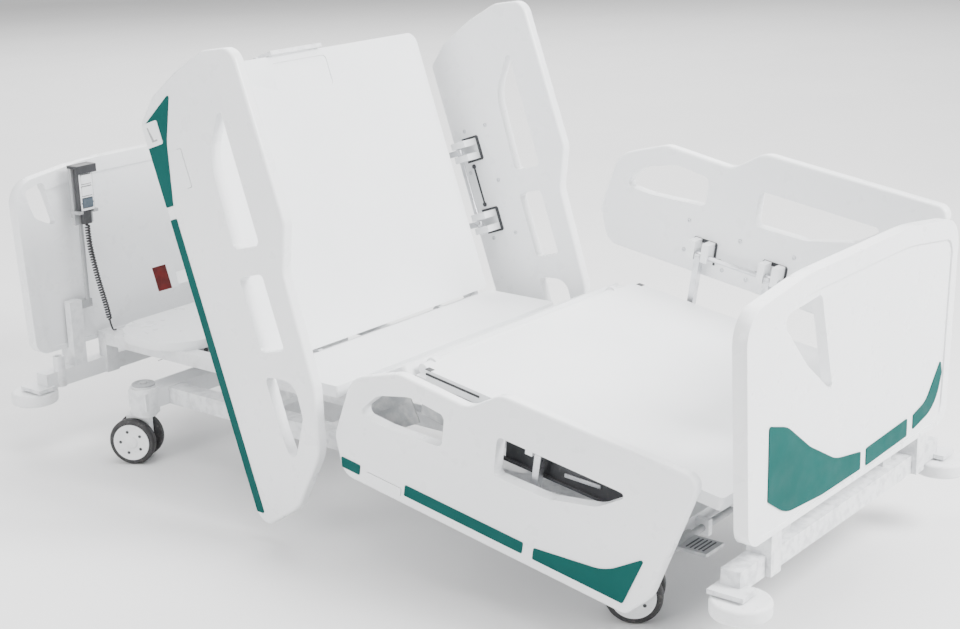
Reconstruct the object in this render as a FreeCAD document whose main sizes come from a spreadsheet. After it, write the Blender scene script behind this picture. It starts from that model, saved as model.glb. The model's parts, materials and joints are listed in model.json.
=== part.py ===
import FreeCAD, Part
import math
import os
import re
from FreeCAD import Placement, Rotation, Vector

# Adjustable hospital bed. Millimetres. X runs across the bed, +Y points to the head end,
# +Z up, and the origin is on the floor under the middle of the bed.
# Rest posture: backrest raised, knees slightly raised, lowest height, one foot rail lowered.

DIMS = {
    # undercarriage
    "wheel_radius": 62.5, "wheel_width": 24, "wheel_gap": 34, "axle_radius": 8,
    "castor_x": 330, "castor_head_y": 787, "castor_foot_y": 800, "castor_trail": 30,
    "stem_radius": 11, "socket_radius": 38, "socket_low": 136, "socket_high": 206,
    "beam_x": 250, "beam_width": 50, "beam_low": 150, "beam_height": 45, "cross_width": 70,
    "brake_y": -852, "brake_high": 172, "brake_lug_x": 200, "pedal_x": 290,
    "column_y": 500, "plate_low": 84, "plate_thick": 8,
    "outer_x": 170, "outer_y": 140, "column_top": 302, "column_wall": 6, "stage_gap": 1,
    # upper frame
    "tube_x": 230, "tube_width": 40, "tube_low": 258, "tube_height": 35, "frame_half": 1030,
    "column_plate_low": 304, "column_plate_thick": 8,
    "hinge_high": 365, "back_hinge_y": 230, "thigh_hinge_y": 30, "hinge_radius": 12,
    "hinge_gap": 0.35, "lug_radius": 18, "lug_thick": 16,
    # deck
    "deck_half": 420, "deck_thick": 28, "deck_top": 20, "deck_start": 21,
    "back_length": 740, "thigh_length": 235, "calf_length": 790,
    "back_angle": 71.3, "thigh_angle": 24.5, "calf_angle": 9.5, "thigh_extra": 5,
    "side_tube_x": 380, "side_tube_width": 30, "side_tube_low": 38,
    # end bars and boards
    "bar_half": 448, "bar_low": 178, "bar_height": 44, "bar_y": 1040, "bar_depth": 44,
    "bumper_x": 455, "bumper_y": 1090, "bumper_radius": 62, "bumper_height": 34,
    "bumper_low": 140, "pin_radius": 8,
    "board_y": 1068, "board_thick": 32, "board_low": 270, "board_half": 470,
    "board_shoulder": 710, "board_crown": 776, "pin_x": 330, "pin_length": 60,
    "recess": 4, "rim": 30,
    "socket_x": 398, "pole_y": 1048, "pole_radius": 9.5, "pole_boss": 40,
    "box_low": 198, "box_y": 925,
    # side rails
    "back_rail_x": 505, "foot_rail_x": 468, "rail_thick": 30,
    "back_arm": 100, "foot_arm": 175, "back_pivot": -85, "foot_pivot": -38,
    "back_arm_a": 192, "back_arm_b": 394, "foot_arm_a": 176, "foot_arm_b": 374,
    "lug_height": 48, "arm_thick": 16, "arm_radius": 11, "rod_radius": 6, "rod_gap": 0.35,
    "band_thick": 2,
    # emergency release handles of the backrest
    "cpr_x": 395, "cpr_along": 280, "cpr_pivot": -122, "cpr_grip_low": -270,
    # actuators
    "actuator_high": 300, "actuator_size": 50, "push_radius": 9, "crank_pin": 7,
    "thigh_drive_x": 147,
    # handset
    "handset_y": 1018, "handset_thick": 22, "handset_width": 52, "handset_low": 610,
    "neck_high": 648, "handset_top": 760, "key_y": 1007.5, "key_pin": 1.8,
}

doc = FreeCAD.newDocument("HospitalBed")
sheet = doc.addObject("Spreadsheet::Sheet", "Dims")
for row, (alias, number) in enumerate(DIMS.items(), start=1):
    sheet.set("A%d" % row, alias)
    sheet.set("B%d" % row, str(number))
    sheet.setAlias("B%d" % row, alias)
doc.recompute()

NODES = []


def dim(alias):
    """The sheet's value of one driving dimension."""
    return float(sheet.get(alias))


def bound(text):
    """An expression text with each of its names pointed at the sheet."""
    return re.sub(r"[a-z]+_[a-z_]+|rim|recess", lambda name: "Dims." + name.group(0), str(text))


def bind(item, values):
    for prop, text in values.items():
        item.setExpression(prop, bound(text))
    return item


def put(item, at):
    return bind(item, {"Placement.Base." + axis: text for axis, text in zip("xyz", at)})


def box(size, at, name="Block"):
    """A block from its three lengths and its lowest corner."""
    block = doc.addObject("Part::Box", name)
    bind(block, dict(zip(("Length", "Width", "Height"), size)))
    return put(block, at)


def centred(size, at, name="Block"):
    """A block from its three lengths, centred in X and Y on a point, standing on its Z."""
    corner = ["(%s) - (%s) / 2" % (at[0], size[0]), "(%s) - (%s) / 2" % (at[1], size[1]), at[2]]
    return box(size, corner, name)


AIM = {"x": Rotation(Vector(0, 1, 0), 90), "y": Rotation(Vector(1, 0, 0), -90), "z": Rotation()}


def rod(radius, length, at, axis="z", name="Rod"):
    """A round bar that starts at a point and runs along +X, +Y or +Z."""
    item = doc.addObject("Part::Cylinder", name)
    bind(item, {"Radius": radius, "Height": length})
    item.Placement = Placement(Vector(), AIM[axis])
    return put(item, at)


def fuse(items, name="Weld"):
    weld = doc.addObject("Part::MultiFuse", name)
    weld.Shapes = items
    weld.Refine = True
    return weld


def cut(base, tools, name="Cut"):
    tool = tools[0] if len(tools) == 1 else fuse(tools)
    item = doc.addObject("Part::Cut", name)
    item.Base = base
    item.Tool = tool
    return item


def gather(items, name="Assembled"):
    """Solids that touch face to face and are kept apart, as one sub-part."""
    item = doc.addObject("Part::Compound", name)
    item.Links = items
    return item


def fillet(base, radius, picks, name="Rounded"):
    """Round the edges of a solid that a test picks out."""
    doc.recompute()
    item = doc.addObject("Part::Fillet", name)
    item.Base = base
    edges = base.Shape.Edges
    item.Edges = [(n, radius, radius) for n, edge in enumerate(edges, start=1) if picks(edge)]
    return item


def signed(text):
    """The value of a dimension's name, which may have a minus sign before it."""
    return -dim(text[1:]) if text.startswith("-") else dim(text)


def node(item, label, place=None):
    """Name a finished sub-part, and tilt or move it into its place on the bed."""
    item.Label = label
    if place is not None:
        item.Placement = place.multiply(item.Placement)
    NODES.append(item)
    return item


def outline(points):
    """Lines and tangent corner arcs through (u, v, corner radius) points, as a closed loop."""
    edges = []
    starts = []
    count = len(points)
    for n, (u, v, radius) in enumerate(points):
        here = Vector(u, v, 0)
        back = Vector(*points[n - 1][:2], 0) - here
        ahead = Vector(*points[(n + 1) % count][:2], 0) - here
        half = back.getAngle(ahead) / 2
        reach = radius / math.tan(half) if radius else 0
        back.normalize()
        ahead.normalize()
        first = here + back * reach
        last = here + ahead * reach
        starts.append((first, last))
        if radius:
            middle = back + ahead
            middle.normalize()
            crown = here + middle * (radius / math.sin(half) - radius)
            edges.append(Part.Arc(first, crown, last))
    for n in range(count):
        begin = starts[n - 1][1]
        end = starts[n][0]
        if (end - begin).Length > 0.01:
            edges.append(Part.LineSegment(begin, end))
    return edges


def sketch(body, plane, loops, shift="0"):
    """A sketch of closed loops on one origin plane of its body, shifted along the normal."""
    item = body.newObject("Sketcher::SketchObject", "Sketch")
    origin = [f for f in body.Origin.OriginFeatures if f.Role == plane][0]
    item.AttachmentSupport = [(origin, "")]
    item.MapMode = "FlatFace"
    item.setExpression("AttachmentOffset.Base.z", bound(shift))
    for loop in loops:
        item.addGeometry(loop, False)
    return item


def slab(name, plane, loops, shift, thick):
    """A PartDesign body: a padded outline with its openings left out."""
    body = doc.addObject("PartDesign::Body", name)
    profile = sketch(body, plane, loops, shift)
    pad = body.newObject("PartDesign::Pad", "Pad")
    pad.Profile = profile
    bind(pad, {"Length": thick})
    body.Tip = pad
    doc.recompute()
    return body


def dent(body, plane, loops, shift, depth, reverse):
    """Sink a shallow pocket into a face of a body."""
    before = body.Shape.Volume
    profile = sketch(body, plane, loops, shift)
    pocket = body.newObject("PartDesign::Pocket", "Pocket")
    pocket.Profile = profile
    pocket.Reversed = reverse
    bind(pocket, {"Length": depth})
    body.Tip = pocket
    doc.recompute()
    assert body.Shape.Volume < before, body.Name
    return body


def hinge_place(y, high, angle):
    """The frame of a tilted section: its hinge point and its turn about X."""
    return Placement(Vector(0, y, high), Rotation(Vector(1, 0, 0), angle))


def back_frame():
    return hinge_place(dim("back_hinge_y"), dim("hinge_high"), dim("back_angle"))


def thigh_frame():
    return hinge_place(-dim("thigh_hinge_y"), dim("hinge_high"), -dim("thigh_angle"))


def calf_frame():
    knee = thigh_frame().multVec(Vector(0, -dim("thigh_length"), 0))
    return hinge_place(knee.y, knee.z, dim("calf_angle"))


# ---------------------------------------------------------------- undercarriage

CASTORS = {
    "head_right": ("-castor_x", "castor_head_y", 208),
    "head_left": ("castor_x", "castor_head_y", -152),
    "foot_right": ("-castor_x", "-castor_foot_y", 208),
    "foot_left": ("castor_x", "-castor_foot_y", 160),
}


def make_base_frame():
    """Two long beams, cross beams with castor sockets, and a tray under each column."""
    beams = []
    for x in ("-beam_x", "beam_x"):
        span = "castor_head_y + castor_foot_y - cross_width"
        beams.append(centred(("beam_width", span, "beam_height"),
                             (x, "(castor_head_y - castor_foot_y) / 2", "beam_low")))
    crosses = []
    for y in ("castor_head_y", "-castor_foot_y"):
        crosses.append(centred(("2 * castor_x + beam_width", "cross_width", "beam_height + 2"),
                               (0, y, "beam_low")))
    for x in ("-brake_lug_x", "brake_lug_x"):
        crosses.append(centred((14, 40, 36), (x, "brake_y + 4", "brake_high - 16")))
    for x, y, _ in CASTORS.values():
        crosses.append(rod("socket_radius", "socket_high - socket_low", (x, y, "socket_low")))
        crosses.append(rod("socket_radius - 8", "6", (x, y, "socket_high")))
    bores = [rod("stem_radius", 56, (x, y, "socket_low - 1")) for x, y, _ in CASTORS.values()]
    bores.append(rod("pin_radius + hinge_gap", "2 * brake_lug_x + 100",
                     ("-brake_lug_x - 50", "brake_y", "brake_high"), "x"))
    trays = []
    for y in ("column_y", "-column_y"):
        trays.append(centred(("outer_x + 20", "outer_y + 26", "plate_thick"), (0, y, "plate_low")))
        for edge, rib in (("+ outer_y / 2 + 9", " + 15"), ("- outer_y / 2 - 9", " - 15")):
            trays.append(centred(("outer_x + 20", 8, "beam_low + beam_height - plate_low"),
                                 (0, y + edge, "plate_low")))
            trays.append(centred(("2 * beam_x - beam_width", 30, "beam_height - 10"),
                                 (0, y + edge + rib, "beam_low + 10")))
    node(gather(beams + [cut(fuse(crosses), bores), fuse(trays)]), "base_frame")


def tube(size_x, size_y, low, high, y, wall="column_wall"):
    """A rectangular tube standing on end, open at both ends."""
    shell = centred((size_x, size_y, "(%s) - (%s)" % (high, low)), (0, y, low))
    inside = ("(%s) - 2 * %s" % (size_x, wall), "(%s) - 2 * %s" % (size_y, wall))
    hollow = centred(inside + ("(%s) - (%s) + 20" % (high, low),), (0, y, "(%s) - 10" % low))
    return cut(shell, [hollow])


STAGE = "- 2 * (column_wall + stage_gap)"


def make_columns():
    for end, y in (("head", "column_y"), ("foot", "-column_y")):
        node(tube("outer_x", "outer_y", "plate_low + plate_thick", "column_top", y), "column_outer_" + end)
        node(tube("outer_x " + STAGE, "outer_y " + STAGE, "plate_low + plate_thick + 2",
                  "column_top - 1", y), "column_mid_" + end)


def make_brake():
    """A bar across the foot end with a foot pedal at each end."""
    items = [rod("pin_radius", "2 * pedal_x + 20", ("-pedal_x - 10", "brake_y", "brake_high"), "x")]
    for x in ("-pedal_x", "pedal_x"):
        items.append(centred((70, 78, 8), (x, "brake_y - 43", "brake_high - 4")))
        items.append(rod("pin_radius + 6", 70, (x + " - 35", "brake_y", "brake_high"), "x"))
    node(fuse(items), "brake_bar")


def make_castors():
    """Four swivelling forks, each with a pair of wheels fixed on one axle."""
    for name, (x, y, turn) in CASTORS.items():
        place = Placement(Vector(signed(x), signed(y), 0), Rotation(Vector(0, 0, 1), turn))
        stem = rod("stem_radius - 0.05", 76, (0, 0, 112))
        collar = rod(30, 7, (0, 0, "socket_low - 8"))
        web = box(("wheel_gap - 6", 62, 79), ("3 - wheel_gap / 2", "-castor_trail - 20", 50))
        hood = rod(34, "wheel_gap - 6", ("3 - wheel_gap / 2", "-castor_trail", "wheel_radius"), "x")
        bore = rod("axle_radius + 0.05", 80, (-40, "-castor_trail", "wheel_radius"), "x")
        node(cut(fuse([stem, collar, web, hood]), [bore]), "castor_head_" + name, place)
        wheels = [rod("axle_radius", "wheel_gap + 2 * wheel_width - 2",
                      ("1 - wheel_gap / 2 - wheel_width", "-castor_trail", "wheel_radius"), "x")]
        for low in ("-wheel_gap / 2 - wheel_width", "wheel_gap / 2"):
            disc = rod("wheel_radius", "wheel_width", (low, "-castor_trail", "wheel_radius"), "x")
            tyre = fillet(disc, 7, lambda edge: edge.Length > 300 and len(edge.Vertexes) == 1)
            wheels.append(tyre)
        node(fuse(wheels), "castor_wheels_" + name, place)


# ---------------------------------------------------------------- upper frame

def lug(x, y, top="hinge_high"):
    """A round-topped hinge lug on a side tube of the upper frame."""
    low = "tube_low + tube_height"
    foot = centred(("lug_thick", "2 * lug_radius", "%s - (%s)" % (top, low)), (x, y, low))
    head = rod("lug_radius", "lug_thick", ("%s - lug_thick / 2" % x, y, top), "x")
    return [foot, head]


def make_upper_frame():
    """Two side tubes with hinge lugs, cross tubes between them, and the columns' inner stages."""
    rise = "hinge_high - deck_thick + deck_top - tube_low - tube_height"
    parts = []
    for x in ("-tube_x", "tube_x"):
        side = [centred(("tube_width", "2 * frame_half", "tube_height"), (x, 0, "tube_low"))]
        side.append(box(("tube_width", 160, rise), (x + " - tube_width / 2", 20, "tube_low + tube_height")))
        for y in ("column_y", "-column_y"):
            side.append(centred(("tube_width", 120, "column_plate_low - tube_low - tube_height"),
                                (x, y, "tube_low + tube_height")))
        bores = []
        for y in ("back_hinge_y", "-thigh_hinge_y"):
            side += lug(x, y)
            bores.append(rod("hinge_radius + hinge_gap", 30, (x + " - 15", y, "hinge_high"), "x"))
        parts.append(cut(fuse(side), bores))
    for y, high in ((1010, "tube_height"), (-1010, "tube_height"), (-220, "tube_height - 8")):
        parts.append(centred(("2 * tube_x - tube_width", "tube_width", high), (0, y, "tube_low")))
    for y in ("column_y", "-column_y"):
        plate = centred(("2 * tube_x + tube_width", 120, "column_plate_thick"), (0, y, "column_plate_low"))
        stage = tube("outer_x " + STAGE + STAGE, "outer_y " + STAGE + STAGE,
                     "plate_low + plate_thick + 4", "column_plate_low", y)
        parts.append(fuse([plate, stage]))
    node(gather(parts), "upper_frame")


def make_seat():
    half = dim("deck_half")
    front = dim("back_hinge_y") - dim("deck_start")
    back = dim("deck_start") - dim("thigh_hinge_y")
    loop = outline([(-half, back, 6), (half, back, 6), (half, front, 6), (-half, front, 6)])
    low = "hinge_high + deck_top - deck_thick"
    node(slab("SeatPanel", "XY_Plane", [loop], low, "deck_thick"), "seat_panel")


def make_head_cover():
    """A flat cover with round ends, on the frame's cross tube at the head end."""
    half = 285
    loop = outline([(-half, 690, 120), (half, 690, 120), (half, 985, 120), (-half, 985, 120)])
    cover = slab("HeadCover", "XY_Plane", [loop], "tube_low + tube_height", "25")
    node(cover, "head_cover")


def make_control_box():
    shell = centred((220, 90, "tube_low - box_low"), (0, "box_y", "box_low"))
    flange = centred(("2 * tube_x - tube_width", 60, 6), (0, "box_y", "tube_low"))
    node(fuse([shell, flange]), "control_box")


def make_actuators():
    """Square drive housings, each bored for its push rod and closed at one end."""
    side = "actuator_size"
    for name, x, y, reach in (("back", "0", -200, 308), ("thigh", "thigh_drive_x", -415, 175)):
        housing = box((side, reach, side), (x + " - actuator_size / 2", y, "actuator_high - actuator_size / 2"))
        hole = rod("push_radius + 0.3", reach, (x, y + 6, "actuator_high"), "y")
        node(cut(housing, [hole]), "actuator_" + name)


# ---------------------------------------------------------------- end bars and boards

def make_end_bar(end, way):
    """The cross bar under a board, with its brackets, pins and bumper spindles."""
    sign = "-" if way < 0 else ""

    def middle(y):
        return "%s(%s)" % (sign, y)
    bar = centred(("2 * bar_half", "bar_depth", "bar_height"), (0, middle("bar_y + bar_depth / 2"), "bar_low"))
    if way > 0:
        # sockets for an infusion pole
        sockets = [rod("pole_radius + 6", "bar_height + pole_boss", (x, "pole_y", "bar_low"))
                   for x in ("-socket_x", "socket_x")]
        bores = [rod("pole_radius", "bar_height + pole_boss + 20", (x, "pole_y", "bar_low - 10"))
                 for x in ("-socket_x", "socket_x")]
        bar = cut(fuse([bar] + sockets), bores)
    posts = []
    for x in ("-tube_x", "tube_x"):
        posts.append(centred(("tube_width", 32, "tube_low + tube_height - bar_low"),
                             (x, middle("frame_half + 16"), "bar_low")))
    upright = 400 if way > 0 else 322
    for x in ("-pin_x", "pin_x"):
        posts.append(centred((40, 24, "%d - bar_low" % upright), (x, middle("bar_y + 12"), "bar_low")))
        posts.append(centred((40, 56, "board_low - bar_low - 0.3"), (x, middle("bar_y + 28"), "bar_low")))
        posts.append(rod("pin_radius", "pin_length", (x, middle("board_y + board_thick / 2"), "board_low - 1")))
    for x in ("-bumper_x", "bumper_x"):
        posts.append(centred((56, 80, "10"), (x, middle("bumper_y - 20"), "bar_low")))
        posts.append(rod("pin_radius", "bumper_height + 4", (x, middle("bumper_y"), "bumper_low + 1")))
        posts.append(rod("pin_radius + 6", "2", (x, middle("bumper_y"), "bar_low - 2")))
    node(gather([bar, cut(fuse(posts), [bar])]), "end_bar_" + end)
    for name, x in (("right", "-bumper_x"), ("left", "bumper_x")):
        disc = rod("bumper_radius", "bumper_height", (x, middle("bumper_y"), "bumper_low"))
        soft = fillet(disc, 8, lambda edge: len(edge.Vertexes) == 1)
        bore = rod("pin_radius + rod_gap", 60, (x, middle("bumper_y"), "bumper_low - 10"))
        node(cut(soft, [bore]), "bumper_%s_%s" % (end, name))


def board_loop(side=0, low=0, top=0):
    """A board's face, or its panel set in from the edges: flared sides and an arched top."""
    foot = dim("board_low") + low
    half = dim("board_half") - side
    crown = dim("board_crown") - top
    shoulder = dim("board_shoulder") + 30 - top
    left = [(-half + 22, foot, 40), (-half, shoulder, 66 - side), (-half / 2, crown - 6, 700)]
    right = [(-u, v, radius) for u, v, radius in reversed(left)]
    return outline(left + right)


GRIPS = {
    "head": [(-441, 718, 14), (-378, 736, 14), (-341, 604, 8), (-410, 640, 30)],
    "foot": [(-336, 704, 20), (-172, 716, 16), (-112, 494, 8), (-226, 584, 60)],
}


def make_board(end, way):
    near = dim("board_y") if way > 0 else -dim("board_y") - dim("board_thick")
    grip = GRIPS[end]
    loops = [board_loop(), outline(grip)]
    if end == "head":
        # the head end is gripped on both sides, the foot end on one
        loops.append(outline([(-u, v, radius) for u, v, radius in grip]))
    # the sketch's normal is -Y, so the shift is the far face taken with its sign turned
    far = -(near + dim("board_thick"))
    board = slab("Board", "XZ_Plane", loops, "%g" % far, "board_thick")
    # a panel is sunk in each face, inside the rim: the faces look along +Y and -Y
    panel = board_loop(dim("rim"), 12, dim("rim") + 10)
    dent(board, "XZ_Plane", [panel], "%g" % (far + dim("board_thick")), "recess", False)
    dent(board, "XZ_Plane", [panel], "%g" % far, "recess", True)
    bores = [rod("pin_radius + rod_gap", "pin_length + 3",
                 (x, "%g" % (near + dim("board_thick") / 2), "board_low - 2")) for x in ("-pin_x", "pin_x")]
    node(cut(board, bores), end + "board")


BAND_FOOT = [
    [(-372, 345, 6), (-372, 500, 6), (-300, 478, 90), (-205, 408, 120), (-90, 345, 160),
     (22, 325, 4), (22, 286, 4), (-150, 286, 300), (-300, 298, 120)],
    [(48, 324, 4), (246, 332, 4), (246, 291, 4), (48, 285, 4)],
    [(276, 331, 4), (340, 345, 60), (410, 424, 4), (419, 392, 6), (390, 318, 90), (276, 297, 4)],
]


def make_foot_band():
    loops = [outline(piece) for piece in BAND_FOOT]
    face = "board_y + board_thick - recess"
    node(slab("FootBand", "XZ_Plane", loops, face, "band_thick"), "footboard_band")


# ---------------------------------------------------------------- deck sections

def deck_panel(name, low, high):
    half = dim("deck_half")
    loop = outline([(-half, low, 10), (half, low, 10), (half, high, 30), (-half, high, 30)])
    return slab(name, "XY_Plane", [loop], "deck_top - deck_thick", "deck_thick")


def side_tubes(low, length):
    tubes = []
    for x in ("-side_tube_x - side_tube_width", "side_tube_x"):
        tubes.append(box(("side_tube_width", length, "side_tube_low + deck_top - deck_thick"),
                         (x, low, "-side_tube_low")))
    return tubes


def cross_tube(y):
    size = ("2 * side_tube_x", "side_tube_width", "side_tube_low + deck_top - deck_thick")
    return centred(size, (0, y, "-side_tube_low"))


def hinge_tube():
    return rod("hinge_radius", "2 * side_tube_x + 20", ("-side_tube_x - 10", 0, 0), "x")


# Lugs of the swing arms: how far one stands past its rod's middle, its depth along the
# section and its height, and how far the rods stand inside the rails' inner faces.
LUG_REST = 11
LUG_DEPTH = 18
LUG_TALL = 24
ROD_INSET = {"back": 37, "foot": 24}


def rail_mounts(kind, spots):
    """Lugs on both sides of a section that carry the swing arms' lower rods."""
    items = []
    bores = []
    pivot = kind + "_pivot"
    rod_x = rail_rod_x(kind)
    reach = rod_x + LUG_REST - dim("side_tube_x")
    length = abs(spots[1] - spots[0]) + 100
    for sign in (-1, 1):
        low = sign * dim("side_tube_x") - (reach if sign < 0 else 0)
        riser_x = "side_tube_x" if sign > 0 else "-side_tube_x - side_tube_width"
        for spot in spots:
            start = spot - LUG_DEPTH / 2
            items.append(box((reach, LUG_DEPTH, LUG_TALL), (low, start, "%s - %g" % (pivot, LUG_TALL / 2))))
            items.append(box(("side_tube_width", LUG_DEPTH, "-%s - side_tube_low + 4" % pivot),
                             (riser_x, start, pivot)))
        bores.append(rod("rod_radius + rod_gap", length, (sign * rod_x, min(spots) - 50, pivot), "y"))
    return items, bores


def rail_rod_x(kind):
    """Distance of a rail's swing rods from the bed's middle."""
    return dim(kind + "_rail_x") - ROD_INSET[kind]


def lug_spots(kind):
    """Where a section's lugs stand, just inside the two arms, along the section."""
    way = 1 if kind == "back" else -1
    inner = 22
    return [way * (dim(kind + "_arm_a") + inner), way * (dim(kind + "_arm_b") - inner)]


def crank(x, tilt):
    """A slotted crank under a hinge tube, tilted so that it points down at mid travel."""
    eye = centred((16, 36, 46), (x, 0, -98))
    neck = centred((16, 22, 60), (x, 0, -60))
    item = cut(fuse([eye, neck]), [centred((30, 21, 34), (x, 0, -90))])
    item.Placement = Placement(Vector(), Rotation(Vector(1, 0, 0), tilt))
    return item


# The sunk patch in the back panel, and the mattress hoop: its middle, bar and opening.
PATCH_X = (-130, 65)
PATCH_ALONG = (642, 722)
PATCH_DEPTH = 3
HOOP_X = -45
HOOP_WIDTH = 180
HOOP_OPENING = 156


def make_backrest():
    """The back panel, and the frame behind it with its hinge, crank, mattress hoop and lugs."""
    place = back_frame()
    panel = deck_panel("BackPanel", dim("deck_start"), dim("back_length"))
    corners = zip((PATCH_X[0], PATCH_X[1], PATCH_X[1], PATCH_X[0]), sorted(2 * PATCH_ALONG))
    patch = outline([(x, y, 12) for x, y in corners])
    dent(panel, "XY_Plane", [patch], "deck_top", PATCH_DEPTH, False)
    node(panel, "backrest_panel", place)
    items = side_tubes(0, "back_length - 20") + [cross_tube(100), cross_tube(300), cross_tube(640)]
    items.append(hinge_tube())
    items.append(crank(0, -dim("back_angle") / 2))
    lugs, bores = rail_mounts("back", lug_spots("back"))
    # the mattress hoop stands on the top edge
    bar = centred((HOOP_WIDTH, 10, 44), (HOOP_X, "back_length + 6", "-8"))
    opening = centred((HOOP_OPENING, 30, 24), (HOOP_X, "back_length + 6", 2))
    items.append(cut(bar, [opening]))
    items.append(centred((HOOP_WIDTH + 20, 106, 12), (HOOP_X, "back_length - 45", "-20")))
    for x in ("-cpr_x", "cpr_x"):
        items.append(centred((14, 50, 100), (x, "cpr_along", "cpr_pivot - 13")))
        bores.append(rod(5.3, 60, (x + " - 30", "cpr_along", "cpr_pivot"), "x"))
    node(cut(fuse(items + lugs), bores), "backrest_frame", place)


def make_cpr_handles():
    """Pull handles that let the backrest down at once, one on each side."""
    for side, sign, x in (("right", "-", "-cpr_x"), ("left", "+", "cpr_x")):
        grip = centred((24, 60, 54), (x + sign + "27", "cpr_along + 10", "cpr_grip_low"))
        arm = centred((8, 30, 114), (x + sign + "13", "cpr_along", "cpr_grip_low + 48"))
        pin = rod(5, 40, (x + " - 20", "cpr_along", "cpr_pivot"), "x")
        node(fuse([grip, arm, pin]), "cpr_handle_" + side, back_frame())


def make_thigh():
    """The seat-side leg section: its panel, tubes, crank and the knuckles of the knee hinge."""
    place = thigh_frame()
    length = dim("thigh_length")
    panel = deck_panel("ThighPanel", -length + dim("deck_start"), -dim("deck_start"))
    half_travel = (dim("thigh_angle") + dim("thigh_extra")) / 2
    items = [panel, hinge_tube(), crank("thigh_drive_x", half_travel)]
    items += side_tubes("-thigh_length + 30", "thigh_length - 30")
    bores = []
    for x in (-350, 350):
        items.append(centred((16, 36, 30), (x, "-thigh_length + 20", -20)))
        items.append(rod(17, 16, (x - 8, "-thigh_length", 0), "x"))
        items.append(centred((60, 30, 30), (x, "-thigh_length + 45", "-side_tube_low")))
        bores.append(rod("hinge_radius + hinge_gap", 40, (x - 20, "-thigh_length", 0), "x"))
    node(cut(fuse(items), bores), "thigh_panel", place)


def make_calf():
    """The lower leg section, hinged at the knee, with the foot rails' lugs."""
    place = calf_frame()
    panel = deck_panel("CalfPanel", -dim("calf_length"), -dim("deck_start"))
    items = [panel] + side_tubes("-calf_length + 90", "calf_length - 90")
    items += [cross_tube(-120), cross_tube(-640), hinge_tube()]
    lugs, bores = rail_mounts("foot", lug_spots("foot"))
    node(cut(fuse(items + lugs), bores), "calf_panel", place)


# ---------------------------------------------------------------- side rails

# Outlines on the section's side: distance from its hinge, height over its hinge, corner radius.
BACK_RAIL = [
    (-300, -30, 40), (646, -30, 20), (694, 36, 60), (728, 140, 80), (746, 240, 60), (728, 336, 40),
    (330, 340, 50), (226, 290, 60), (-40, 282, 80), (-190, 236, 90), (-304, 116, 90), (-336, -10, 30),
]
BACK_WINDOWS = [
    [(622, 246, 8), (520, 166, 120), (306, 158, 14), (298, 244, 16)],
    [(64, 148, 12), (243, 148, 12), (237, 224, 12), (58, 224, 12)],
    [(10, 136, 10), (-14, 224, 40), (-100, 220, 50), (-212, 142, 16), (-120, 134, 60)],
]
BACK_BANDS = [
    [(-296, -24, 4), (412, -24, 4), (412, -2, 4), (-304, -2, 4)],
    [(442, -24, 4), (634, -25, 10), (686, 98, 4), (585, 42, 140), (442, 0, 3)],
]
FOOT_RAIL = [
    (-112, 78, 46), (-148, 165, 40), (-114, 318, 70), (20, 376, 60), (215, 370, 60), (292, 428, 60),
    (772, 430, 26), (768, 396, 60), (708, 136, 60), (660, 78, 24),
]
FOOT_WINDOWS = [
    [(-88, 242, 14), (-30, 306, 60), (60, 336, 80), (156, 328, 14), (158, 254, 14), (0, 240, 60)],
    [(298, 336, 12), (300, 246, 12), (440, 250, 120), (560, 282, 60), (632, 336, 8)],
]
FOOT_BANDS = [
    [(-114, 98, 3), (-62, 98, 3), (-62, 122, 3), (-120, 122, 3)],
    [(70, 102, 3), (396, 102, 3), (396, 128, 3), (70, 128, 3)],
    [(424, 102, 3), (652, 102, 6), (686, 220, 4), (600, 154, 120), (424, 128, 3)],
]


def along(kind, points, drop=0):
    """Outline points in the section's own axes: the foot sections run towards -Y."""
    way = 1 if kind == "back" else -1
    return outline([(way * u, v - drop, radius) for u, v, radius in points])


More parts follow.
